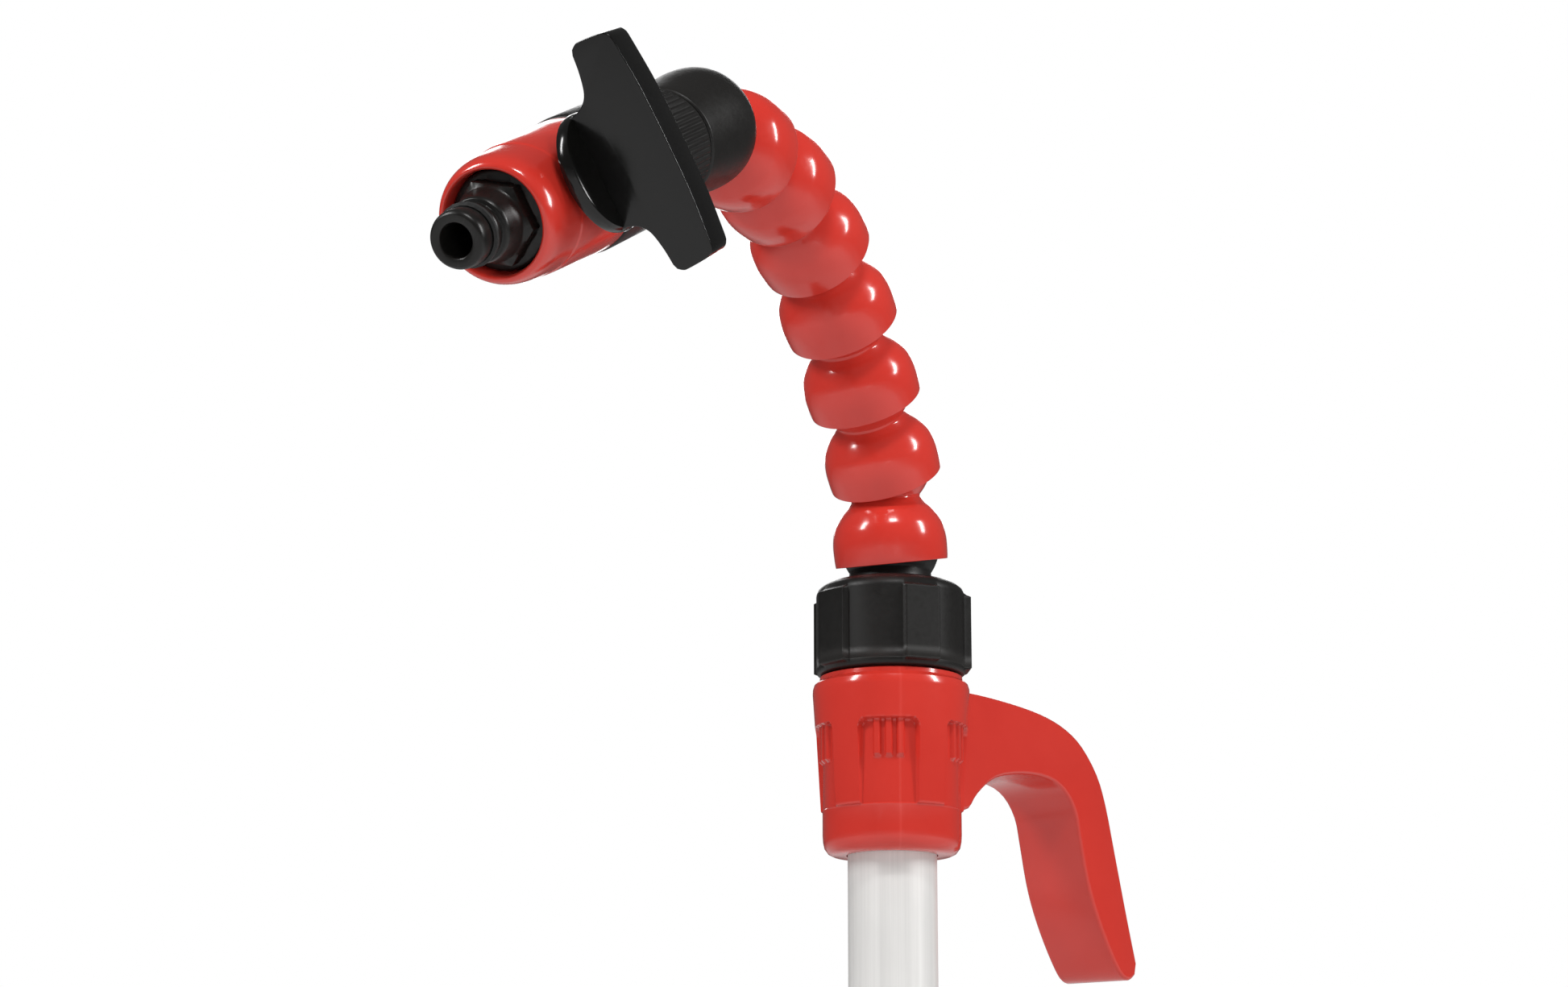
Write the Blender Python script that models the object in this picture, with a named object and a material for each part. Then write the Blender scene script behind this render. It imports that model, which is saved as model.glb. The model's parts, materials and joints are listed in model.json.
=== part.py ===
"""Swivelling delivery head of a water-butt pump.

A riser tube carries a sleeve with a rim hook. A lugged union nut holds a ball insert on the
sleeve, seven ball-and-socket links make the arm, and the last cup carries a quarter-turn valve
with a hose nipple. Lengths are written in millimetres. +Z runs up the riser, +X towards the hook.
"""
import math

import bmesh
import bpy
from mathutils import Matrix, Vector

MM = 0.001

# Riser and sleeve
RISER_R = 10.0
RISER_WALL = 1.3
RISER_TOP = 125.6
SLEEVE_LOW_R = 15.6
SLEEVE_STEP = 108.0
SLEEVE_TOP = 137.2
SLEEVE_TOP_R = 17.8
NECK_R = 14.1
NECK_TOP = 150.0
PITCH_ANGLE = 72.0  # the sleeve and the nut both repeat five times
HOOK_WIDTH = 18.5

# Union nut
NUT_BOTTOM = 138.7
NUT_R = 16.9
LUG_R = 18.1
LUG_HALF = 13.0
FIRST_LUG = 242.0

# Ball-and-socket arm
FIRST_BALL = 169.0
BALL_R = 11.3
SOCKET_R = 11.9
LINK_PITCH = 19.2
BORE_R = 5.6
RIM_DROP = 4.1
SOCKET_END = math.degrees(math.acos(BORE_R / SOCKET_R))
ARM_HEADING = 194.5
TILTS = [13.0, 37.0, 42.0, 51.0, 66.0, 84.0, 95.0]
VALVE_TILT = 118.5

# Valve, measured from the centre of the ball in its cup
CUP_END = 17.0
RING_END = 35.0
BODY_START = 57.3
STEM_AT = 73.0
BODY_END = 91.0
TIP_AT = 105.3
STEM_ROLL = 15.0
VALVE_BALL_R = 8.2

# Knob, measured up the stem from the valve's axis
SKIRT_R = 11.8
SKIRT_BOTTOM = 13.6
SKIRT_TOP = 16.6
FIN_TOP = 32.4
FIN_SPAN = 46.0
FIN_THICK = 7.0


def clear_scene():
    for obj in list(bpy.data.objects):
        bpy.data.objects.remove(obj, do_unlink=True)


def paint(name, colour, roughness, metallic=0.0):
    """A plain Principled material of its own for one piece."""
    mat = bpy.data.materials.new(name)
    mat.use_nodes = True
    shader = mat.node_tree.nodes["Principled BSDF"]
    shader.inputs["Base Color"].default_value = (*colour, 1.0)
    shader.inputs["Roughness"].default_value = roughness
    shader.inputs["Metallic"].default_value = metallic
    return mat


def red(name):
    return paint(name, (0.58, 0.035, 0.027), 0.3)


def black(name):
    return paint(name, (0.012, 0.011, 0.010), 0.42)


def make_object(name, bm, frame, mat, hidden=False):
    """Turns a bmesh in millimetres into a named object standing in the given frame."""
    bmesh.ops.recalc_face_normals(bm, faces=bm.faces)
    bmesh.ops.scale(bm, vec=(MM, MM, MM), verts=bm.verts)
    mesh = bpy.data.meshes.new(name)
    bm.to_mesh(mesh)
    bm.free()
    mesh.polygons.foreach_set("use_smooth", [True] * len(mesh.polygons))
    mesh.set_sharp_from_angle(angle=math.radians(38))
    obj = bpy.data.objects.new(name, mesh)
    bpy.context.scene.collection.objects.link(obj)
    obj.matrix_world = frame
    if mat:
        mesh.materials.append(mat)
    if hidden:
        obj.hide_render = True
        obj.display_type = "WIRE"
    return obj


def add_turned(bm, profile, angles, bulge=None):
    """Turns a profile of (radius, height) about Z. Radius 0 at both ends closes it on the axis."""
    rings = []
    for k, (r, z) in enumerate(profile):
        if r == 0:
            rings.append([bm.verts.new((0, 0, z))] * len(angles))
            continue
        ring = []
        for a in angles:
            here = r + (bulge(k, r, z, a) if bulge else 0.0)
            t = math.radians(a)
            ring.append(bm.verts.new((here * math.cos(t), here * math.sin(t), z)))
        rings.append(ring)
    solid = profile[0][0] == 0
    pairs = list(zip(rings, rings[1:])) + ([] if solid else [(rings[-1], rings[0])])
    for low, high in pairs:
        for i in range(len(angles)):
            j = (i + 1) % len(angles)
            corners = [low[i], low[j], high[j], high[i]]
            bm.faces.new(list(dict.fromkeys(corners)))


def turned(name, profile, frame, mat, steps=24, hidden=False):
    bm = bmesh.new()
    add_turned(bm, profile, [360.0 * i / steps for i in range(steps)])
    return make_object(name, bm, frame, mat, hidden)


def torus_profile(middle, height, tube, steps=8):
    turns = [2 * math.pi * (i + 0.5) / steps for i in range(steps)]
    return [(middle + tube * math.cos(t), height + tube * math.sin(t)) for t in turns]


def arc(radius, centre, low, high, steps):
    """Profile points on a sphere, from one latitude to another."""
    out = []
    for i in range(steps + 1):
        t = math.radians(low + (high - low) * i / steps)
        out.append((radius * math.cos(t), centre + radius * math.sin(t)))
    return out


def add_prism(bm, outline, low, high, place):
    """Extrudes a 2-D outline between two depths; place maps (u, v, depth) to a point."""
    near = [bm.verts.new(place(u, v, low)) for u, v in outline]
    far = [bm.verts.new(place(u, v, high)) for u, v in outline]
    bm.faces.new(near)
    bm.faces.new(far[::-1])
    for i in range(len(outline)):
        j = (i + 1) % len(outline)
        bm.faces.new([near[i], far[i], far[j], near[j]])


def bevelled(obj, width, segments=2, angle=30):
    mod = obj.modifiers.new("edges", "BEVEL")
    mod.width = width * MM
    mod.segments = segments
    mod.limit_method = "ANGLE"
    mod.angle_limit = math.radians(angle)
    return obj


def join(obj, other, operation):
    mod = obj.modifiers.new(operation.lower(), "BOOLEAN")
    mod.operation = operation
    mod.solver = "EXACT"
    mod.object = other


def frame_at(point, along, side):
    """A frame in metres: Z along the piece, X towards its side direction."""
    z = Vector(along).normalized()
    x = Vector(side)
    x = (x - z * x.dot(z)).normalized()
    rows = Matrix((x, z.cross(x), z)).transposed().to_4x4()
    return Matrix.Translation(Vector(point) * MM) @ rows


clear_scene()
BASE = Matrix.Identity(4)
heading = math.radians(ARM_HEADING)
FORWARD = Vector((math.cos(heading), math.sin(heading), 0))
HINGE = Vector((0, 0, 1)).cross(FORWARD)


def tilted(degrees):
    t = math.radians(degrees)
    return FORWARD * math.sin(t) + Vector((0, 0, math.cos(t)))


# ---- Riser tube: drawn aluminium, pushed up into the sleeve ----
turned("riser_tube", [(RISER_R, 0.0), (RISER_R, RISER_TOP), (RISER_R - RISER_WALL, RISER_TOP),
                      (RISER_R - RISER_WALL, 0.0)],
       BASE, paint("riser_alu", (0.78, 0.77, 0.75), 0.38, 0.9), steps=28)


# ---- Hook sleeve: one moulding of a collar, a threaded neck and the rim hook ----
def sleeve_body():
    profile = [
        (10.3, 98.0), (13.2, 98.0), (14.8, 98.8), (SLEEVE_LOW_R, 101.0),
        (SLEEVE_LOW_R, SLEEVE_STEP - 0.2), (16.2, SLEEVE_STEP), (17.0, 122.0),
        (SLEEVE_TOP_R, 134.6), (17.5, 136.4), (16.4, SLEEVE_TOP), (16.2, 138.2),
        (NECK_R, 138.3), (NECK_R, NECK_TOP - 0.6), (NECK_R - 0.6, NECK_TOP),
        (8.7, NECK_TOP), (8.7, 126.0), (10.3, 126.0), (10.3, 118.6), (12.3, 118.6),
        (12.3, 116.0), (10.3, 116.0),
    ]
    return turned("hook_sleeve", profile, BASE, red("sleeve_red"), steps=32)


def hook_blank():
    """The hook's side outline as (distance from the riser axis, height)."""
    outline = [
        (13.4, 136.4), (24.0, 136.6), (38.0, 135.8), (48.0, 134.6), (56.0, 132.6),
        (62.5, 129.2), (68.5, 123.2), (72.0, 116.0), (75.5, 104.5), (80.0, 89.5),
        (83.6, 78.6), (82.8, 75.6), (80.4, 74.2), (77.2, 74.6), (74.2, 77.2),
        (69.6, 83.6), (65.6, 90.6), (62.8, 97.6), (60.4, 106.8), (58.6, 112.6),
        (54.4, 117.2), (48.0, 119.4), (38.0, 119.4), (27.5, 117.4), (20.5, 113.0),
        (17.0, 109.2), (13.4, 108.6),
    ]
    bm = bmesh.new()
    half = HOOK_WIDTH / 2
    add_prism(bm, outline, -half, half, lambda u, v, d: (u, d, v))
    hook = make_object("hook_blank", bm, BASE, None, hidden=True)
    return bevelled(hook, 2.6, segments=2, angle=50)


def window_cutter():
    """Four round-topped recesses, open downwards, as one cutter of separate curved slabs."""
    bm = bmesh.new()
    columns = [-24, -22.4, -18.5, -9, 0, 9, 18.5, 22.4, 24]
    drops = [2.2, 0.7, 0, 0, 0, 0, 0, 0.7, 2.2]
    for n in (1, 2, 3, 4):
        rows = []
        for a, drop in zip(columns, drops):
            t = math.radians(n * PITCH_ANGLE + a)
            for r in (SLEEVE_LOW_R + 0.05, 21.0):
                for z in (106.5, 127.0 - drop):
                    rows.append(bm.verts.new((r * math.cos(t), r * math.sin(t), z)))
        for i in range(len(columns) - 1):
            a = rows[4 * i:4 * i + 4]
            b = rows[4 * i + 4:4 * i + 8]
            for p, q in ((0, 1), (1, 3), (3, 2), (2, 0)):
                bm.faces.new([a[p], a[q], b[q], b[p]])
        for end in (rows[:4], rows[-4:]):
            bm.faces.new([end[0], end[1], end[3], end[2]])
    return make_object("window_cutter", bm, BASE, None, hidden=True)


def window_ribs():
    """Three short grip ribs in the top of each recess."""
    bm = bmesh.new()
    for n in (1, 2, 3, 4):
        for step in (-9.6, 0.0, 9.6):
            turn = Matrix.Rotation(math.radians(n * PITCH_ANGLE + step), 3, "Z")
            outline = [(-0.8, 118.6), (0.0, 118.0), (0.8, 118.6), (0.8, 126.4), (-0.8, 126.4)]
            add_prism(bm, outline, 14.6, 16.6, lambda u, v, d: turn @ Vector((d, u, v)))
    return make_object("window_ribs", bm, BASE, None, hidden=True)


hook_sleeve = sleeve_body()
join(hook_sleeve, hook_blank(), "UNION")
join(hook_sleeve, window_cutter(), "DIFFERENCE")
join(hook_sleeve, window_ribs(), "UNION")

turned("riser_oring", torus_profile(11.25, 117.3, 0.88, 6), BASE,
       paint("riser_oring_rubber", (0.01, 0.01, 0.01), 0.7), steps=24)


# ---- Union nut: black, five flat grip lugs, domed top, screwed on the neck ----
def union_nut():
    profile = [
        (14.4, NUT_BOTTOM), (16.3, NUT_BOTTOM), (NUT_R, 139.6), (NUT_R, 140.0), (NUT_R, 156.4),
        (NUT_R, 156.8), (16.2, 158.6), (13.8, 159.8), (10.5, 160.4), (10.3, 160.0),
        (10.3, 154.0), (14.4, 154.0),
    ]
    angles = []
    for n in range(5):
        middle = FIRST_LUG + n * PITCH_ANGLE
        for a in (-LUG_HALF - 1.2, -LUG_HALF, -4.5, 4.5, LUG_HALF, LUG_HALF + 1.2, 25.0, 36.0, 47.0):
            angles.append(middle + a)
    flat = LUG_R * math.cos(math.radians(LUG_HALF)) + 0.35

    def bulge(k, r, z, a):
        off = (a - FIRST_LUG) % PITCH_ANGLE
        off = off - PITCH_ANGLE if off > PITCH_ANGLE / 2 else off
        if k not in (3, 4) or abs(off) > LUG_HALF + 0.1:
            return 0.0
        return flat / math.cos(math.radians(off)) - r

    bm = bmesh.new()
    add_turned(bm, profile, sorted(a % 360 for a in angles), bulge)
    return make_object("union_nut", bm, BASE, black("nut_black"))


union_nut()
turned("nut_gasket", [(8.9, 150.3), (13.4, 150.3), (13.4, 151.2), (8.9, 151.2)], BASE,
       paint("gasket_rubber", (0.01, 0.01, 0.01), 0.7), steps=28)


# ---- Ball insert: flange under the nut, short neck and the arm's first ball ----
def ball_insert():
    low = -BALL_R * math.sin(math.radians(35))
    profile = [(BORE_R, 151.5 - FIRST_BALL), (13.6, 151.5 - FIRST_BALL), (13.6, -15.4), (9.8, -15.4),
               (9.8, -9.2), (9.35, low)]
    profile += arc(BALL_R, 0.0, -30, 42.3, 3)
    profile += [(BORE_R, 7.6)]
    frame = frame_at((0, 0, FIRST_BALL), (0, 0, 1), HINGE)
    return turned("ball_insert", profile, frame, black("insert_black"), steps=24)


ball_insert()


# ---- Seven links: socket below, ball above, a through bore for the water ----
def link(number, point, tilt):
    profile = [(11.17, -RIM_DROP), (12.5, -RIM_DROP), (13.2, 0.8), (12.9, 4.4), (11.6, 7.6),
               (9.6, 9.3), (8.2, 9.9), (7.9, 10.6)]
    profile += arc(BALL_R, LINK_PITCH, -45.6, 42.3, 4)
    profile += [(BORE_R, LINK_PITCH + 7.6)]
    profile += arc(SOCKET_R, 0.0, SOCKET_END, -1.0, 2)
    frame = frame_at(point, tilted(tilt), HINGE)
    return turned(f"link_{number}", profile, frame, red(f"link_{number}_red"), steps=20)


ball = Vector((0, 0, FIRST_BALL))
for index, tilt in enumerate(TILTS):
    link(index + 1, ball, tilt)
    ball = ball + tilted(tilt) * LINK_PITCH

# ---- Valve frames: Z runs towards the nipple, X up the stem ----
ALONG = tilted(VALVE_TILT)
roll = math.radians(STEM_ROLL)
STEM = HINGE * math.cos(roll) + ALONG.cross(HINGE) * math.sin(roll)
VALVE = frame_at(ball, ALONG, STEM)


def valve_at(distance):
    return frame_at(ball + ALONG * distance, ALONG, STEM)


def stem_frame():
    """Z up the stem, X along the valve."""
    return frame_at(ball + ALONG * STEM_AT, STEM, ALONG)


# ---- Cup adapter: bell-mouthed socket with a flanged spigot ----
cup = [(11.17, -RIM_DROP), (12.2, -RIM_DROP), (12.9, 0.0), (12.6, 6.0), (11.8, 16.5), (11.3, CUP_END), (7.5, CUP_END), (7.5, 22.4),
       (9.8, 22.4), (9.8, 24.4), (5.0, 24.4), (5.0, 12.0)]
cup += arc(SOCKET_R, 0.0, SOCKET_END, -1.0, 2)
turned("cup_adapter", cup, VALVE, black("cup_black"), steps=24)


# ---- Coupling ring: ribbed, clamps the spigot flange onto the valve's tail ----
def coupling_ring():
    profile = [(7.9, 17.3), (11.2, 17.3), (11.6, 17.9), (11.6, 34.4), (11.2, RING_END),
               (10.4, RING_END), (10.4, 22.0), (7.9, 22.0)]
    steps = 48

    def bulge(k, r, z, a):
        return 0.5 if k in (2, 3) and round(a * steps / 360) % 2 == 0 else 0.0

    bm = bmesh.new()
    add_turned(bm, profile, [360.0 * i / steps for i in range(steps)], bulge)
    return make_object("coupling_ring", bm, VALVE, black("ring_black"))


coupling_ring()
turned("coupling_gasket", [(5.4, 24.7), (9.6, 24.7), (9.6, 25.6), (5.4, 25.6)], VALVE,
       paint("coupling_rubber", (0.01, 0.01, 0.01), 0.7), steps=24)

# ---- Valve tail: threaded end, collar and the plug that backs the rear seat ----
turned("valve_tail", [(5.0, 25.9), (10.1, 25.9), (10.1, 35.3), (12.9, 35.3), (13.7, 36.2),
                      (13.7, 56.2), (13.2, 57.0), (9.5, 57.0), (9.5, 63.0), (5.0, 63.0)],
       VALVE, black("tail_black"), steps=24)


# ---- Valve body: red barrel with a rounded lip and a boss for the stem ----
def valve_body():
    profile = [(9.8, BODY_START), (13.2, BODY_START), (13.4, 57.9), (13.0, 72.0), (12.75, 79.6),
               (12.55, 79.9), (12.3, 86.6), (11.9, 89.0), (11.1, 90.5), (10.3, BODY_END),
               (9.9, 90.4), (9.8, 89.0)]
    body = turned("valve_body", profile, VALVE, red("body_red"), steps=28)
    boss = turned("boss_blank", [(0, 10.6), (6.8, 10.6), (6.8, 13.2), (0, 13.2)], stem_frame(),
                  None, steps=24, hidden=True)
    hole = turned("stem_hole", [(0, 5.0), (4.2, 5.0), (4.2, 16.0), (0, 16.0)], stem_frame(),
                  None, steps=20, hidden=True)
    join(body, boss, "UNION")
    join(body, hole, "DIFFERENCE")
    return body


valve_body()


# ---- Ball, seats and stem inside the barrel (closed: the bore lies across the flow) ----
def seat(name, near, far):
    ring = [(5.2, near), (9.5, STEM_AT + (5.2 if near > STEM_AT else -5.2)), (9.5, far),
            (5.2, far)]
    return turned(name, ring, VALVE, paint(name + "_ptfe", (0.8, 0.8, 0.78), 0.5), steps=24)


seat("valve_seat_front", STEM_AT + 7.1, STEM_AT + 9.4)
seat("valve_seat_back", STEM_AT - 7.1, STEM_AT - 9.4)


def valve_ball():
    across = frame_at(ball + ALONG * STEM_AT, ALONG.cross(STEM), STEM)
    edge = math.degrees(math.acos(4.6 / VALVE_BALL_R))
    profile = arc(VALVE_BALL_R, 0.0, -edge, edge, 6)
    piece = turned("valve_ball", profile, across,
                   paint("ball_chrome", (0.75, 0.75, 0.76), 0.15, 1.0), steps=20)
    bm = bmesh.new()
    slot = [(-1.9, 5.7), (1.9, 5.7), (1.9, 10.0), (-1.9, 10.0)]
    add_prism(bm, slot, -12.0, 12.0, lambda u, v, d: (u, d, v))
    cutter = make_object("ball_slot", bm, stem_frame(), None, hidden=True)
    join(piece, cutter, "DIFFERENCE")
    return piece


def valve_stem():
    profile = [(0, 8.6), (3.8, 8.6), (3.8, 10.7), (2.6, 10.7), (2.6, 12.3), (3.8, 12.3),
               (3.8, 13.2), (2.2, 13.2), (2.2, 21.0), (0, 21.0)]
    piece = turned("valve_stem", profile, stem_frame(), black("stem_black"), steps=20)
    bm = bmesh.new()
    tongue = [(-1.5, 6.1), (1.5, 6.1), (1.5, 9.2), (-1.5, 9.2)]
    add_prism(bm, tongue, -3.0, 3.0, lambda u, v, d: (u, d, v))
    blade = make_object("stem_blade", bm, stem_frame(), None, hidden=True)
    join(piece, blade, "UNION")
    return piece


valve_ball()
valve_stem()
turned("stem_oring", torus_profile(3.38, 11.5, 0.62, 6), stem_frame(),
       paint("stem_oring_rubber", (0.01, 0.01, 0.01), 0.7), steps=20)


# ---- Knob: round skirt and a straight two-armed fin, set across the flow when shut ----
def knob():
    skirt = [(0, SKIRT_BOTTOM), (11.2, SKIRT_BOTTOM), (SKIRT_R, 14.3), (11.7, 16.0),
             (11.2, SKIRT_TOP), (0, SKIRT_TOP)]
    piece = turned("knob", skirt, stem_frame(), paint("knob_black", (0.008, 0.008, 0.008), 0.22),
                   steps=28)
    half = FIN_SPAN / 2
    right = [(11.3, 16.0), (11.4, 17.6), (12.4, 19.6), (14.4, 21.0), (half - 1.6, 22.2),
             (half, 23.6), (half - 0.6, 30.0), (half - 2.0, 31.2), (half / 2, FIN_TOP - 0.2)]
    outline = right + [(0.0, FIN_TOP)] + [(-u, v) for u, v in reversed(right)]
    bm = bmesh.new()
    edge = FIN_THICK / 2
    add_prism(bm, outline, -edge, edge, lambda u, v, d: (d, u, v))
    fin = make_object("fin_blank", bm, stem_frame(), None, hidden=True)
    bevelled(fin, 0.9, segments=2, angle=50)
    hole = turned("knob_hole", [(0, 10.0), (2.5, 10.0), (2.5, 21.6), (0, 21.6)], stem_frame(),
                  None, steps=20, hidden=True)
    join(piece, fin, "UNION")
    join(piece, hole, "DIFFERENCE")
    return piece


knob()


# ---- Nipple: flange in the barrel's mouth, hexagon, shoulder and ridged tip ----
def nipple():
    t = TIP_AT
    profile = [
        (9.5, 82.8), (9.5, 88.0), (9.2, 88.4), (7.6, 88.6), (7.6, 91.6), (7.2, 92.2), (6.5, 95.0),
        (6.2, 96.4), (5.2, 97.0), (5.2, 97.8), (5.6, 98.1), (5.6, 99.3), (4.6, 99.6),
        (4.6, 101.2), (5.6, 101.5), (5.6, 104.2), (5.2, t - 0.3), (4.6, t), (3.5, t),
        (3.2, t - 0.4), (3.2, 82.8),
    ]

    def bulge(k, r, z, a):
        if k not in (3, 4):
            return 0.0
        off = math.radians((a + 30) % 60 - 30)
        return 7.35 / math.cos(off) - r

    bm = bmesh.new()
    add_turned(bm, profile, [15.0 * i for i in range(24)], bulge)
    return make_object("nipple", bm, VALVE, black("nipple_black"))


nipple()
turned("nipple_oring", torus_profile(5.55, 100.4, 0.62, 6), VALVE,
       paint("nipple_rubber", (0.01, 0.01, 0.01), 0.6), steps=24)
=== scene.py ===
import json
import math

import bmesh
import bpy
from mathutils import Matrix, Vector


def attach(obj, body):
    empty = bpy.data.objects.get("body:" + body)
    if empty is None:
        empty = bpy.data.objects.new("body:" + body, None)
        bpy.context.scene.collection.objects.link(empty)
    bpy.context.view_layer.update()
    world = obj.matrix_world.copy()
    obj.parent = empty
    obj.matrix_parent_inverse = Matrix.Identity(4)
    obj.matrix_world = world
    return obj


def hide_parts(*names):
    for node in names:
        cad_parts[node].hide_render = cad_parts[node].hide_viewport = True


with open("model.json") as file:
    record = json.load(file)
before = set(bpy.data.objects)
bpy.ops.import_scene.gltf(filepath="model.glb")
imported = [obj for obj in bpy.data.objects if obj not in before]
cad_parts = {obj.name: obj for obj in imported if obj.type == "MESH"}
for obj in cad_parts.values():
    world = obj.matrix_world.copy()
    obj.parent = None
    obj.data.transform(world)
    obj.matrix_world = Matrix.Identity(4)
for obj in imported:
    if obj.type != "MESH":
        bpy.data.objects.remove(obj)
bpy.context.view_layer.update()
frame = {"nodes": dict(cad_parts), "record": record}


# ---------------------------------------------------------------------------------------------
# Riser tube: a plain drawn aluminium tube with a matte anodised skin. It is turned from one
# profile with broken edges, and faint draw lines run along it.
MM = 0.001


def piece(name, bm, place, body, mat, nodes, soften=0.0, segments=3, angle=28):
    """Makes a bmesh drawn in millimetres into a placed, shaded object that rides on its body."""
    bmesh.ops.recalc_face_normals(bm, faces=bm.faces)
    bmesh.ops.scale(bm, vec=(MM, MM, MM), verts=bm.verts)
    bm.transform(place)
    mesh = bpy.data.meshes.new(name)
    bm.to_mesh(mesh)
    bm.free()
    mesh.polygons.foreach_set("use_smooth", [True] * len(mesh.polygons))
    mesh.materials.append(mat)
    obj = bpy.data.objects.new(name, mesh)
    bpy.context.scene.collection.objects.link(obj)
    if soften:
        edge = obj.modifiers.new("broken edges", "BEVEL")
        edge.width = soften * MM
        edge.segments = segments
        edge.limit_method = "ANGLE"
        edge.angle_limit = math.radians(angle)
        edge.harden_normals = False
    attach(obj, body)
    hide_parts(*nodes)
    return obj


def turn(bm, profile, steps, swell=None):
    """Turns (radius, height) points about Z. swell(k, degrees) adds to the radius of point k."""
    rings = []
    for k, (r, z) in enumerate(profile):
        if r == 0:
            rings.append([bm.verts.new((0, 0, z))] * steps)
            continue
        ring = []
        for i in range(steps):
            a = 360.0 * i / steps
            here = r + (swell(k, a) if swell else 0.0)
            t = math.radians(a)
            ring.append(bm.verts.new((here * math.cos(t), here * math.sin(t), z)))
        rings.append(ring)
    pairs = list(zip(rings, rings[1:]))
    if profile[0][0] != 0:
        pairs.append((rings[-1], rings[0]))
    for low, high in pairs:
        for i in range(steps):
            j = (i + 1) % steps
            bm.faces.new(list(dict.fromkeys([low[i], low[j], high[j], high[i]])))
    return bm


def tree(name):
    """A new material, its node tree and its Principled shader."""
    mat = bpy.data.materials.new(name)
    mat.use_nodes = True
    nodes = mat.node_tree
    return mat, nodes, nodes.nodes["Principled BSDF"]


def node(nodes, kind, values=None, **settings):
    """Adds a shader node with its settings and the values of its inputs."""
    made = nodes.nodes.new(kind)
    for key, value in settings.items():
        setattr(made, key, value)
    for key, value in (values or {}).items():
        made.inputs[key].default_value = value
    return made


def anodised(name):
    """Pale matte aluminium with fine lines drawn out along the tube."""
    mat, t, shader = tree(name)
    shader.inputs["Metallic"].default_value = 0.3
    place = node(t, "ShaderNodeTexCoord")
    drawn = node(t, "ShaderNodeMapping", {"Scale": (1.0, 1.0, 0.012)})
    lines = node(t, "ShaderNodeTexNoise", {"Scale": 1500.0, "Detail": 3.0, "Roughness": 0.6})
    clouds = node(t, "ShaderNodeTexNoise", {"Scale": 35.0, "Detail": 4.0})
    mix = node(t, "ShaderNodeMath", operation="MULTIPLY")
    tone = node(t, "ShaderNodeValToRGB")
    tone.color_ramp.elements[0].color = (0.80, 0.79, 0.77, 1)
    tone.color_ramp.elements[1].color = (0.93, 0.92, 0.90, 1)
    tone.color_ramp.elements[0].position = 0.1
    tone.color_ramp.elements[1].position = 0.5
    rough = node(t, "ShaderNodeMapRange", {"To Min": 0.34, "To Max": 0.52})
    bump = node(t, "ShaderNodeBump", {"Strength": 0.12, "Distance": 0.00003})
    link = t.links.new
    link(place.outputs["Object"], drawn.inputs["Vector"])
    link(drawn.outputs["Vector"], lines.inputs["Vector"])
    link(place.outputs["Object"], clouds.inputs["Vector"])
    link(lines.outputs["Fac"], mix.inputs[0])
    link(clouds.outputs["Fac"], mix.inputs[1])
    link(mix.outputs[0], tone.inputs["Fac"])
    link(tone.outputs["Color"], shader.inputs["Base Color"])
    link(lines.outputs["Fac"], rough.inputs["Value"])
    link(rough.outputs["Result"], shader.inputs["Roughness"])
    link(lines.outputs["Fac"], bump.inputs["Height"])
    link(bump.outputs["Normal"], shader.inputs["Normal"])
    return mat


UPRIGHT = Matrix.Identity(4)
RISER_R = 10.0
RISER_TOP = 125.6
RISER_BORE_R = 8.7
tube_side = [(RISER_BORE_R, 0.0), (RISER_R, 0.0)] + [(RISER_R, 15.0 * k) for k in range(1, 8)]
tube_side += [(RISER_R, RISER_TOP), (RISER_BORE_R, RISER_TOP)]
turned_tube = turn(bmesh.new(), tube_side, 128)
piece("riser_tube_drawn", turned_tube, UPRIGHT, "base", anodised("anodised_tube"),
      ["riser_tube"], soften=0.25)


# ---------------------------------------------------------------------------------------------
# Hook sleeve: one glossy red moulding that slips over the tube. The collar is turned with its
# grip windows and their ribs sunk in the surface, and the barrel hook is joined to its side.
def moulded_grain():
    """Shared skin of the mouldings: colour drift, gloss drift and a faint ripple of the surface."""
    group = bpy.data.node_groups.new("moulded_skin", "ShaderNodeTree")
    group.interface.new_socket("Drift", in_out="OUTPUT", socket_type="NodeSocketFloat")
    group.interface.new_socket("Gloss", in_out="OUTPUT", socket_type="NodeSocketFloat")
    group.interface.new_socket("Normal", in_out="OUTPUT", socket_type="NodeSocketVector")
    out = group.nodes.new("NodeGroupOutput")
    place = node(group, "ShaderNodeTexCoord")
    cloud = node(group, "ShaderNodeTexNoise", {"Scale": 26.0, "Detail": 5.0, "Roughness": 0.55})
    fine = node(group, "ShaderNodeTexNoise", {"Scale": 900.0, "Detail": 3.0, "Roughness": 0.6})
    broad = node(group, "ShaderNodeTexNoise", {"Scale": 120.0, "Detail": 2.0})
    both = node(group, "ShaderNodeMath", operation="ADD")
    ripple = node(group, "ShaderNodeBump", {"Strength": 0.06, "Distance": 0.0002})
    grain = node(group, "ShaderNodeBump", {"Strength": 0.02, "Distance": 0.00002})
    link = group.links.new
    for noise_node in (cloud, fine, broad):
        link(place.outputs["Object"], noise_node.inputs["Vector"])
    link(cloud.outputs["Fac"], both.inputs[0])
    link(fine.outputs["Fac"], both.inputs[1])
    link(broad.outputs["Fac"], ripple.inputs["Height"])
    link(fine.outputs["Fac"], grain.inputs["Height"])
    link(ripple.outputs["Normal"], grain.inputs["Normal"])
    link(cloud.outputs["Fac"], out.inputs["Drift"])
    link(both.outputs[0], out.inputs["Gloss"])
    link(grain.outputs["Normal"], out.inputs["Normal"])
    return group


SKIN = moulded_grain()


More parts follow.
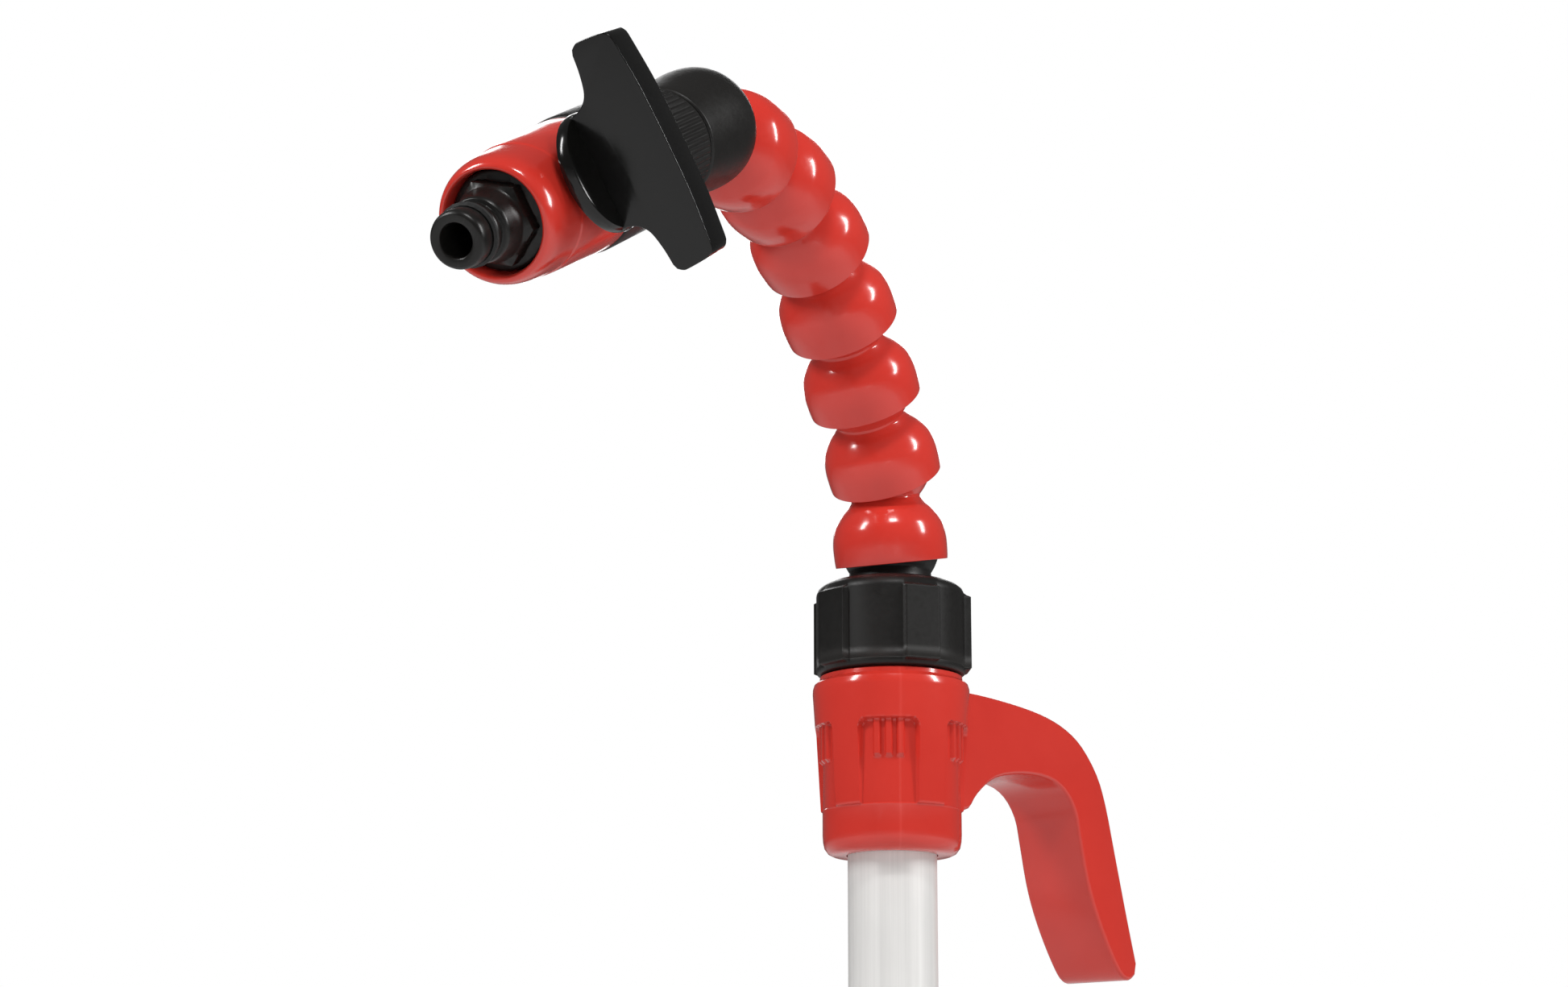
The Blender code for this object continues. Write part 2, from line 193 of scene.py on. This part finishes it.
def moulded(name, dark, light, gloss, dull, coat=0.0, wear=(0.0, 0.0, 0.0, 1), shine=0.5):
    """A moulded plastic: its two nearby tones, its range of roughness and rubbed corners."""
    mat, t, shader = tree(name)
    skin = node(t, "ShaderNodeGroup", node_tree=SKIN)
    tone = node(t, "ShaderNodeValToRGB")
    tone.color_ramp.elements[0].color = dark
    tone.color_ramp.elements[1].color = light
    tone.color_ramp.elements[0].position = 0.35
    tone.color_ramp.elements[1].position = 0.65
    rough = node(t, "ShaderNodeMapRange",
                 {"From Min": 0.7, "From Max": 1.3, "To Min": gloss, "To Max": dull})
    edges = node(t, "ShaderNodeNewGeometry")
    rubbed = node(t, "ShaderNodeMapRange", {"From Min": 0.56, "From Max": 0.72, "To Max": 0.35})
    blend = node(t, "ShaderNodeMix", data_type="RGBA")
    blend.inputs["B"].default_value = wear
    link = t.links.new
    link(skin.outputs["Drift"], tone.inputs["Fac"])
    link(skin.outputs["Gloss"], rough.inputs["Value"])
    link(edges.outputs["Pointiness"], rubbed.inputs["Value"])
    link(rubbed.outputs["Result"], blend.inputs["Factor"])
    link(tone.outputs["Color"], blend.inputs["A"])
    link(blend.outputs["Result"], shader.inputs["Base Color"])
    link(rough.outputs["Result"], shader.inputs["Roughness"])
    link(skin.outputs["Normal"], shader.inputs["Normal"])
    shader.inputs["Coat Weight"].default_value = coat
    shader.inputs["Specular IOR Level"].default_value = shine
    shader.inputs["Coat Roughness"].default_value = 0.12
    return mat


def red_plastic(name):
    """Glossy red, the colour of the sleeve, the links and the barrel."""
    return moulded(name, (0.56, 0.030, 0.020, 1), (0.60, 0.036, 0.024, 1), 0.14, 0.22,
                   coat=0.25, wear=(0.66, 0.06, 0.045, 1))


def black_plastic(name, gloss=0.36, dull=0.52):
    """Satin black, as on the nut, the coupling and the nipple."""
    return moulded(name, (0.0050, 0.0046, 0.0042, 1), (0.0085, 0.0078, 0.0070, 1), gloss, dull,
                   wear=(0.03, 0.028, 0.026, 1), shine=0.35)


def prism(bm, outline, low, high, place):
    """Extrudes an outline between two depths. place(u, v, depth) gives each point."""
    near = [bm.verts.new(place(u, v, low)) for u, v in outline]
    far = [bm.verts.new(place(u, v, high)) for u, v in outline]
    bm.faces.new(near)
    bm.faces.new(far[::-1])
    for i in range(len(outline)):
        j = (i + 1) % len(outline)
        bm.faces.new([near[i], far[i], far[j], near[j]])


def blank(name, bm, place=UPRIGHT):
    """A body still to be cut or joined, drawn in millimetres."""
    bmesh.ops.recalc_face_normals(bm, faces=bm.faces)
    bmesh.ops.scale(bm, vec=(MM, MM, MM), verts=bm.verts)
    bm.transform(place)
    mesh = bpy.data.meshes.new(name)
    bm.to_mesh(mesh)
    bm.free()
    obj = bpy.data.objects.new(name, mesh)
    bpy.context.scene.collection.objects.link(obj)
    return obj


def bake_down(obj, helpers):
    """Applies obj's modifiers to its mesh and removes the helper bodies."""
    bpy.context.view_layer.update()
    done = bpy.data.meshes.new_from_object(obj.evaluated_get(bpy.context.evaluated_depsgraph_get()))
    obj.modifiers.clear()
    obj.data = done
    for helper in helpers:
        bpy.data.objects.remove(helper, do_unlink=True)


def cut_or_join(obj, other, operation):
    """Adds an exact Boolean of obj with the other body."""
    step = obj.modifiers.new(operation.lower(), "BOOLEAN")
    step.operation = operation
    step.solver = "EXACT"
    step.object = other


def curve_through(points, parts):
    """A smooth line through the points, as Catmull-Rom spans."""
    out = []
    padded = [points[0]] + points + [points[-1]]
    for a, b, c, d in zip(padded, padded[1:], padded[2:], padded[3:]):
        for k in range(parts):
            t = k / parts
            w = (-t + 2 * t * t - t ** 3, 2 - 5 * t * t + 3 * t ** 3,
                 t + 4 * t * t - 3 * t ** 3, -t * t + t ** 3)
            out.append(tuple(sum(w[m] * p[n] for m, p in enumerate((a, b, c, d))) / 2
                             for n in (0, 1)))
    return out + [points[-1]]


SLEEVE_LOW_R = 15.6
SLEEVE_STEP = 108.0
WINDOW_TOP = 127.0
FIFTH = 72.0
HOOK_HALF = 9.2
WINDOW_HALF = 6.9
WINDOW_CORNER = 2.2
WINDOW_FLOOR = 15.5
GRIP_R = 16.5
EDGE_WIDTH = 0.5
RIB_STEP = 9.6
RIB_HALF = 1.05
RIB_BOTTOM = 118.0
RIB_RISE = 0.85
collar = [(10.3, 98.0), (13.4, 98.0), (14.4, 98.5), (15.2, 99.6), (15.5, 101.0),
          (SLEEVE_LOW_R, 102.4), (SLEEVE_LOW_R, SLEEVE_STEP - 0.5), (15.7, SLEEVE_STEP - 0.15),
          (16.1, SLEEVE_STEP + 0.1)]
collar += [(16.2 + 0.0571 * (0.35 * k), SLEEVE_STEP + 0.4 + 0.35 * k) for k in range(58)]
collar += [(17.75, 134.4), (17.7, 135.4), (17.4, 136.4), (16.7, 137.0), (16.2, 137.3),
           (16.1, 138.2), (14.1, 138.3), (14.1, 150.0), (8.7, 150.0), (8.7, 126.0), (10.3, 126.0)]


def ramp(x):
    """A soft step from 0 to 1 as x goes from 0 to 1."""
    x = min(1.0, max(0.0, x))
    return x * x * (3 - 2 * x)


def grip_window(k, degrees):
    """Sinks the four grip windows, open at the bottom, and raises three short ribs in each."""
    r, z = collar[k]
    off = (degrees + FIFTH / 2) % FIFTH - FIFTH / 2
    if r < 16.0 or z < SLEEVE_STEP or z > 130 or round(degrees / FIFTH) % 5 == 0:
        return 0.0
    across = math.radians(abs(off)) * GRIP_R - (WINDOW_HALF - WINDOW_CORNER)
    up = z - (WINDOW_TOP - WINDOW_CORNER)
    edge = min(max(across, up), 0.0) + math.hypot(max(across, 0.0), max(up, 0.0)) - WINDOW_CORNER
    inside = ramp(-edge / EDGE_WIDTH)
    nearest = min(abs(off - step) for step in (-RIB_STEP, 0.0, RIB_STEP))
    rib = ramp((RIB_HALF - math.radians(nearest) * GRIP_R) / EDGE_WIDTH) * ramp(z - RIB_BOTTOM)
    return (WINDOW_FLOOR + RIB_RISE * rib - r) * inside


sleeve = blank("hook_sleeve_moulded", turn(bmesh.new(), collar, 540, grip_window))

top_edge = curve_through([(13.4, 136.3), (24.0, 136.3), (38.0, 135.6), (48.0, 134.4),
                          (56.0, 132.3), (62.4, 128.9), (68.3, 122.9), (71.8, 115.8),
                          (75.3, 104.3), (79.8, 89.4), (83.2, 78.8)], 3)
under_edge = curve_through([(82.5, 76.0), (80.3, 74.7), (77.4, 75.1), (74.5, 77.6),
                            (69.9, 83.9), (65.9, 90.8), (63.1, 97.7), (60.7, 106.9),
                            (58.9, 112.8), (54.6, 117.4), (48.0, 119.7), (38.0, 119.7),
                            (27.5, 117.7), (20.5, 113.3), (17.0, 109.6), (13.4, 109.0)], 3)

hook_mesh = bmesh.new()
prism(hook_mesh, top_edge + under_edge, -HOOK_HALF, HOOK_HALF, lambda u, v, d: (u, d, v))
hook = blank("hook", hook_mesh)
round_over = hook.modifiers.new("rounded edges", "BEVEL")
round_over.width = 2.6 * MM
round_over.segments = 6
round_over.limit_method = "ANGLE"
round_over.angle_limit = math.radians(50)

cut_or_join(sleeve, hook, "UNION")
bake_down(sleeve, [hook])
sleeve.data.materials.clear()
sleeve.data.materials.append(red_plastic("sleeve_red_moulded"))
sleeve.data.polygons.foreach_set("use_smooth", [True] * len(sleeve.data.polygons))
sleeve.data.set_sharp_from_angle(angle=math.radians(32))
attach(sleeve, "base")
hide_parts("hook_sleeve")


# ---------------------------------------------------------------------------------------------
# Union nut: black moulding with a domed top and five flat grip lugs that stop short of its ends.
# Each lug is a flat raised out of the turned body, with a soft step at both sides.
NUT_BOTTOM = 138.7
NUT_R = 16.9
LUG_FLAT = 17.95
LUG_HALF = 13.0
FIRST_LUG = 242.0
LUG_LOW = 139.7
LUG_HIGH = 157.0
nut_side = [(NUT_R, 139.7)] + [(NUT_R, 139.8 + 0.2 * k) for k in range(4)]
nut_side += [(NUT_R, 140.4 + 15.9 * k / 6) for k in range(7)]
nut_side += [(NUT_R, 156.5 + 0.2 * k) for k in range(3)]
nut = [(14.5, NUT_BOTTOM), (16.2, NUT_BOTTOM), (16.7, 139.1)] + nut_side
nut += [(16.8, 157.4), (16.4, 158.3), (15.4, 159.1), (13.8, 159.8), (12.0, 160.2), (10.8, 160.4),
        (10.3, 160.1), (10.3, 154.0), (14.5, 154.0)]


def lug(k, degrees):
    """How far the lug stands out of the nut at this ring and angle."""
    off = (degrees - FIRST_LUG) % FIFTH
    off = off - FIFTH if off > FIFTH / 2 else off
    r, z = nut[k]
    if r < NUT_R or z < LUG_LOW or z > LUG_HIGH:
        return 0.0
    ends = min(1.0, max(0.0, (z - LUG_LOW) / 0.5), max(0.0, (LUG_HIGH - z) / 0.5))
    sides = min(1.0, max(0.0, LUG_HALF + 1.0 - abs(off)))
    flat = LUG_FLAT / math.cos(math.radians(min(abs(off), LUG_HALF)))
    return (flat - NUT_R) * sides * min(1.0, ends ** 0.6)


piece("union_nut_moulded", turn(bmesh.new(), nut, 360, lug), UPRIGHT, "nut",
      black_plastic("nut_black_moulded"), ["union_nut"])


# ---------------------------------------------------------------------------------------------
# Ball insert: black, a flange under the nut, a waisted neck and the first ball of the arm.
# It is turned about the riser's axis and swivels in the nut.
BALL_R = 11.3
SOCKET_R = 11.9
BORE_R = 5.6


def ball_arc(radius, centre, low, high, parts):
    """Points along a ball's or a socket's side, between two angles above its middle."""
    points = []
    for k in range(parts + 1):
        t = math.radians(low + (high - low) * k / parts)
        points.append((radius * math.cos(t), centre + radius * math.sin(t)))
    return points


def standing_at(point, along, side):
    """The place of a piece that stands at a point, runs along Z and turns its X to the side."""
    z = Vector(along).normalized()
    x = Vector(side)
    x = (x - z * x.dot(z)).normalized()
    return Matrix.Translation(Vector(point)) @ Matrix((x, z.cross(x), z)).transposed().to_4x4()


JOINTS = {j["name"]: j for j in frame["record"]["behaviour"]["joints"]}
HINGE = Vector(JOINTS["tilt_1"]["axis"])
BALLS = [Vector(JOINTS[f"tilt_{k}"]["pos_m"]) for k in range(1, 9)]
insert = [(BORE_R, -17.4), (13.6, -17.4), (13.6, -15.5), (9.9, -15.4)]
insert += curve_through([(9.9, -10.4), (9.8, -8.8), (9.4, -7.2), (9.3, -6.4)], 4)
insert += ball_arc(BALL_R, 0.0, -32, 42.3, 16) + [(BORE_R, 7.6)]
piece("ball_insert_moulded", turn(bmesh.new(), insert, 112),
      standing_at(BALLS[0], (0, 0, 1), HINGE), "arm_base",
      black_plastic("insert_black_moulded"), ["ball_insert"], soften=0.25, angle=40)


# ---------------------------------------------------------------------------------------------
# Seven links: glossy red, each a domed socket skirt, a narrow neck and a ball for the next one.
# All are turned from one outline and stand between the ball centres of the frame.
RIM_DROP = 4.1
PITCH = (BALLS[1] - BALLS[0]).length / MM
skirt = curve_through([(12.8, -RIM_DROP), (12.92, -3.0), (13.0, -1.2), (13.0, 0.8), (12.75, 2.8),
                       (12.2, 4.8), (11.1, 6.7), (9.9, 8.3), (8.75, 9.5), (7.95, 10.6)], 4)
link_outline = [(11.17, -RIM_DROP)] + skirt
link_outline += ball_arc(BALL_R, PITCH, -45.2, 42.3, 20) + [(BORE_R, PITCH + 7.6)]
link_outline += ball_arc(SOCKET_R, 0.0, math.degrees(math.acos(BORE_R / SOCKET_R)), -19.5, 16)
for k in range(7):
    here, there = BALLS[k], BALLS[k + 1]
    piece(f"link_{k + 1}_moulded", turn(bmesh.new(), link_outline, 112),
          standing_at(here, there - here, HINGE), f"link_{k + 1}_body",
          red_plastic(f"link_{k + 1}_red_moulded"), [f"link_{k + 1}"], soften=0.22, angle=40)


# ---------------------------------------------------------------------------------------------
# Cup adapter: satin black bell that takes the last ball, drawn in to a flanged spigot.
# It stands on the last ball centre, along the valve.
ALONG = Vector(JOINTS["valve_swivel"]["axis"])
STEM = Vector(JOINTS["knob_quarter_turn"]["axis"])
VALVE = standing_at(BALLS[7], ALONG, STEM)
bell = curve_through([(12.35, -RIM_DROP + 0.3), (12.75, -2.0), (12.9, 1.5), (12.65, 6.0),
                      (12.2, 11.0), (11.9, 15.0), (11.75, 16.6)], 5)
cup = [(11.17, -RIM_DROP), (12.0, -RIM_DROP)] + bell + [(11.3, 17.0), (7.5, 17.0), (7.5, 22.4),
                                                      (9.8, 22.4), (9.8, 24.4), (5.0, 24.4)]
cup += ball_arc(SOCKET_R, 0.0, 62.0, -19.5, 16)
piece("cup_adapter_moulded", turn(bmesh.new(), cup, 112), VALVE, "cup",
      black_plastic("cup_black_moulded", 0.30, 0.44), ["cup_adapter"], soften=0.25, angle=40)


# ---------------------------------------------------------------------------------------------
# Coupling ring: black, with fine rounded grip ribs all round, between two plain bands.
# It is threaded on the valve's tail and traps the spigot's flange.
RIBS = 56
ring = [(7.9, 17.3), (11.0, 17.3), (11.5, 17.7), (11.6, 18.2), (11.6, 18.6), (11.6, 19.0),
        (11.6, 33.0), (11.6, 33.4), (11.6, 33.8), (11.5, 34.6), (11.0, 35.0), (10.4, 35.0),
        (10.4, 22.0), (7.9, 22.0)]


def grip(k, degrees):
    """Raises the rounded ribs between the ring's two plain bands."""
    if k not in (5, 6):
        return 0.15 if k in (4, 7) else 0.0
    return 0.25 + 0.25 * math.cos(math.radians(degrees * RIBS))


piece("coupling_ring_moulded", turn(bmesh.new(), ring, RIBS * 8, grip), VALVE, "coupling",
      black_plastic("ring_black_moulded", 0.42, 0.58), ["coupling_ring"])


# ---------------------------------------------------------------------------------------------
# Valve tail: black collar behind the red barrel, with the thread for the ring at its back.
# The thread is drawn as four plain ridges.
tail = [(5.0, 25.9), (9.7, 25.9)]
for k in range(4):
    crest = 26.5 + 2.0 * k
    tail += [(10.1, crest), (10.1, crest + 0.7), (9.5, crest + 1.2), (9.5, crest + 1.7)]
tail += [(9.6, 35.3), (12.8, 35.3), (13.4, 35.7), (13.7, 36.5), (13.7, 55.9), (13.5, 56.7),
         (13.1, 57.0), (9.5, 57.0), (9.5, 63.0), (5.0, 63.0)]
piece("valve_tail_moulded", turn(bmesh.new(), tail, 112), VALVE, "valve",
      black_plastic("tail_black_moulded"), ["valve_tail"], soften=0.12, angle=30)


# ---------------------------------------------------------------------------------------------
# Valve body: glossy red barrel, slightly tapered, with a fine seam behind the nose, a rolled
# lip round the nipple and a low boss for the stem under the knob.
STEM_PLACE = standing_at(Vector(JOINTS["knob_quarter_turn"]["pos_m"]), STEM, ALONG)
barrel = [(9.8, 57.3), (13.0, 57.3), (13.3, 57.6), (13.4, 58.2), (13.25, 64.0), (13.0, 72.0),
          (12.78, 79.2), (12.72, 79.5), (12.6, 79.7), (12.55, 80.0)]
barrel += curve_through([(12.45, 83.0), (12.25, 86.4), (11.9, 88.6), (11.3, 90.2),
                         (10.7, 90.85), (10.25, 90.9), (9.95, 90.5), (9.8, 89.6)], 5)
body = blank("valve_body_moulded", turn(bmesh.new(), barrel, 128), VALVE)
boss_side = [(0, 10.6), (6.8, 10.6), (6.8, 12.9), (6.5, 13.2), (0, 13.2)]
boss = blank("boss", turn(bmesh.new(), boss_side, 64), STEM_PLACE)
stem_way_side = [(0, 5.0), (4.2, 5.0), (4.2, 16.0), (0, 16.0)]
stem_way = blank("stem_way", turn(bmesh.new(), stem_way_side, 48), STEM_PLACE)
cut_or_join(body, boss, "UNION")
cut_or_join(body, stem_way, "DIFFERENCE")
bake_down(body, [boss, stem_way])
body.data.materials.clear()
body.data.materials.append(red_plastic("body_red_moulded"))
body.data.polygons.foreach_set("use_smooth", [True] * len(body.data.polygons))
body.data.set_sharp_from_angle(angle=math.radians(40))
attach(body, "valve")
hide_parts("valve_body")


# ---------------------------------------------------------------------------------------------
# Nipple: satin black, a disc in the barrel's mouth, a hexagon, a shoulder and a ridged tip
# for a push-on coupling. Its seal sits in the deep groove.
HEX_FLAT_R = 7.35
nozzle = [(9.5, 82.8), (9.5, 87.8), (9.3, 88.25), (8.9, 88.4), (7.9, 88.5),
          (HEX_FLAT_R, 88.7), (HEX_FLAT_R, 91.3), (7.1, 91.9)]
nozzle += curve_through([(6.9, 92.3), (6.6, 93.6), (6.35, 95.2), (6.2, 96.2)], 4)
nozzle += [(5.9, 96.8), (5.2, 97.0), (5.2, 97.7), (5.45, 98.0), (5.6, 98.35), (5.6, 99.0),
           (5.45, 99.4), (4.6, 99.6), (4.6, 101.2), (5.4, 101.35), (5.5, 101.8), (5.5, 103.9)]
nozzle += [(5.4, 104.5), (5.2, 105.0), (4.8, 105.3), (3.6, 105.3), (3.3, 105.1), (3.2, 104.7),
           (3.2, 82.8)]


def hexagon(k, degrees):
    """Lifts the two rings of the hexagon to its six flats."""
    if k not in (5, 6):
        return 0.0
    return HEX_FLAT_R / math.cos(math.radians((degrees + 30) % 60 - 30)) - HEX_FLAT_R


piece("nipple_moulded", turn(bmesh.new(), nozzle, 144, hexagon), VALVE, "valve",
      black_plastic("nipple_black_moulded", 0.26, 0.42), ["nipple"], soften=0.12, angle=35)


# ---------------------------------------------------------------------------------------------
# Knob: gloss black, a round skirt with a straight two-armed fin across it. The fin's ends drop
# in concave sweeps to the skirt and its top is slightly crowned.
KNOB_HALF = 22.8
FIN_TOP = 32.0
FIN_HALF = 3.5
skirt_disc = [(0, 13.6), (11.1, 13.6), (11.6, 13.9), (11.8, 14.6), (11.75, 15.6), (11.5, 16.3),
              (10.9, 16.6), (0, 16.6)]
knob = blank("knob_moulded", turn(bmesh.new(), skirt_disc, 112), STEM_PLACE)
wing = curve_through([(11.2, 15.8), (11.35, 17.4), (12.2, 19.3), (14.0, 20.8), (17.5, 21.7),
                      (21.0, 22.1)], 5)
wing += curve_through([(22.0, 22.5), (22.65, 23.5), (KNOB_HALF, 24.6), (22.5, 28.4),
                       (22.0, 30.1), (21.0, 30.85)], 4)
wing += curve_through([(20.2, 31.0), (12.0, 31.75), (6.0, 31.95)], 3)
mirrored = [(-u, v) for u, v in reversed(wing)]
fin_mesh = bmesh.new()
prism(fin_mesh, wing + [(0.0, FIN_TOP)] + mirrored, -FIN_HALF, FIN_HALF, lambda u, v, d: (d, u, v))
fin = blank("fin", fin_mesh, STEM_PLACE)
fin_edges = fin.modifiers.new("rounded edges", "BEVEL")
fin_edges.width = 0.9 * MM
fin_edges.segments = 5
fin_edges.limit_method = "ANGLE"
fin_edges.angle_limit = math.radians(50)
socket_side = [(0, 10.0), (2.5, 10.0), (2.5, 21.6), (0, 21.6)]
socket = blank("stem_socket", turn(bmesh.new(), socket_side, 32), STEM_PLACE)
cut_or_join(knob, fin, "UNION")
cut_or_join(knob, socket, "DIFFERENCE")
bake_down(knob, [fin, socket])
knob.data.materials.clear()
knob.data.materials.append(
    moulded("knob_black_moulded", (0.0030, 0.0030, 0.0028, 1), (0.0045, 0.0044, 0.0042, 1),
            0.12, 0.20, coat=0.0, wear=(0.02, 0.02, 0.019, 1), shine=0.40))
knob.data.polygons.foreach_set("use_smooth", [True] * len(knob.data.polygons))
knob.data.set_sharp_from_angle(angle=math.radians(35))
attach(knob, "handle")
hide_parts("knob")


# ---------------------------------------------------------------------------------------------
# Seals, seats, stem and valve ball: inner pieces that keep their working solids and only take
# their finish: dull rubber, waxy white seats, a satin stem and a polished plated ball.
def rubber(name):
    """Dull black rubber."""
    return moulded(name, (0.010, 0.010, 0.010, 1), (0.018, 0.018, 0.018, 1), 0.62, 0.8)


def plated(name):
    """Bright plating over a polished ball."""
    mat, t, shader = tree(name)
    shader.inputs["Metallic"].default_value = 1.0
    skin = node(t, "ShaderNodeGroup", node_tree=SKIN)
    tone = node(t, "ShaderNodeValToRGB")
    tone.color_ramp.elements[0].color = (0.66, 0.66, 0.67, 1)
    tone.color_ramp.elements[1].color = (0.80, 0.80, 0.81, 1)
    rough = node(t, "ShaderNodeMapRange",
                 {"From Min": 0.7, "From Max": 1.3, "To Min": 0.08, "To Max": 0.2})
    t.links.new(skin.outputs["Drift"], tone.inputs["Fac"])
    t.links.new(tone.outputs["Color"], shader.inputs["Base Color"])
    t.links.new(skin.outputs["Gloss"], rough.inputs["Value"])
    t.links.new(rough.outputs["Result"], shader.inputs["Roughness"])
    t.links.new(skin.outputs["Normal"], shader.inputs["Normal"])
    return mat


def dress(name, mat):
    """Gives a working solid its finish."""
    held = frame["nodes"][name].data.materials
    held.clear()
    held.append(mat)


for seal in ("riser_oring", "nut_gasket", "coupling_gasket", "stem_oring", "nipple_oring"):
    dress(seal, rubber(seal + "_rubber"))
for seat in ("valve_seat_front", "valve_seat_back"):
    dress(seat, moulded(seat + "_ptfe", (0.76, 0.76, 0.73, 1), (0.84, 0.84, 0.82, 1), 0.4, 0.55,
                        wear=(0.7, 0.7, 0.68, 1)))
dress("valve_stem", black_plastic("stem_black_moulded"))
dress("valve_ball", plated("ball_plated"))


# ---------------------------------------------------------------------------------------------
# Studio: a pale floor under the tube's end, a white surround and broad soft lights.
def plain(name, colour):
    """An even matt paint."""
    mat, t, shader = tree(name)
    shader.inputs["Base Color"].default_value = colour
    shader.inputs["Roughness"].default_value = 0.85
    return mat


floor_mesh = bmesh.new()
bmesh.ops.create_grid(floor_mesh, x_segments=1, y_segments=1, size=3.0)
floor_data = bpy.data.meshes.new("floor")
floor_mesh.to_mesh(floor_data)
floor_mesh.free()
floor = bpy.data.objects.new("floor", floor_data)
floor.location.z = -0.0005
floor_data.materials.append(plain("floor_pale", (0.68, 0.68, 0.68, 1)))
bpy.context.scene.collection.objects.link(floor)

world = bpy.data.worlds.new("studio")
world.use_nodes = True
bpy.context.scene.world = world
sky = world.node_tree
seen = node(sky, "ShaderNodeBackground", {"Color": (1, 1, 1, 1), "Strength": 1.0})
glow = sky.nodes["Background"]
glow.inputs["Color"].default_value = (1, 1, 1, 1)
glow.inputs["Strength"].default_value = 0.10
path = node(sky, "ShaderNodeLightPath")
either = node(sky, "ShaderNodeMixShader")
matt = node(sky, "ShaderNodeMath", {1: 0.30}, operation="MULTIPLY_ADD")
sky.links.new(path.outputs["Is Diffuse Ray"], matt.inputs[0])
sky.links.new(path.outputs["Is Camera Ray"], matt.inputs[2])
sky.links.new(matt.outputs[0], either.inputs[0])
sky.links.new(glow.outputs[0], either.inputs[1])
sky.links.new(seen.outputs[0], either.inputs[2])
sky.links.new(either.outputs[0], sky.nodes["World Output"].inputs["Surface"])


def softbox(name, azimuth, elevation, away, size, power, mirrored=True, aim=(-0.03, 0.0, 0.16)):
    """An area light, placed by its angle round the object, that faces the object."""
    lamp = bpy.data.lights.new(name, "AREA")
    lamp.shape = "RECTANGLE"
    lamp.size, lamp.size_y = size
    lamp.energy = power
    obj = bpy.data.objects.new(name, lamp)
    a, e = math.radians(azimuth), math.radians(elevation)
    facing = Vector((math.sin(a) * math.cos(e), -math.cos(a) * math.cos(e), math.sin(e)))
    obj.location = Vector(aim) + facing * away
    obj.rotation_euler = facing.to_track_quat("Z", "Y").to_euler()
    obj.visible_glossy = mirrored
    bpy.context.scene.collection.objects.link(obj)


softbox("key", -112, 34, 0.75, (0.10, 0.30), 2.6)
softbox("side", 22, 28, 0.75, (0.08, 0.30), 2.8)
softbox("front", -42, 50, 0.80, (0.16, 0.10), 1.9)
softbox("low", -70, -12, 0.80, (0.06, 0.25), 0.5, mirrored=False)
softbox("back", 130, 30, 0.90, (0.50, 0.50), 2.5)
softbox("tube", -36, -4, 0.80, (0.05, 0.30), 0.8, mirrored=False)

# Camera: low and looking up, turned so the hook reaches right and away and the nipple comes near.
VIEW_AZIMUTH = -50.0
VIEW_RISE = 13.0
VIEW_AWAY = 0.740
LENS = 74.0
camera = bpy.data.objects.new("camera", bpy.data.cameras.new("camera"))
camera.data.lens = LENS
camera.data.sensor_width = 36.0
camera.data.clip_start = 0.01
a, e = math.radians(VIEW_AZIMUTH), math.radians(VIEW_RISE)
looking = Vector((-math.sin(a) * math.cos(e), math.cos(a) * math.cos(e), math.sin(e)))
target = Vector((math.cos(a), math.sin(a), 0)) * -0.02424 + Vector((0, 0, 0.18125))
camera.location = target - looking * VIEW_AWAY
camera.rotation_euler = looking.to_track_quat("-Z", "Y").to_euler()
bpy.context.scene.collection.objects.link(camera)
bpy.context.scene.camera = camera
bpy.context.scene.view_settings.view_transform = "Standard"
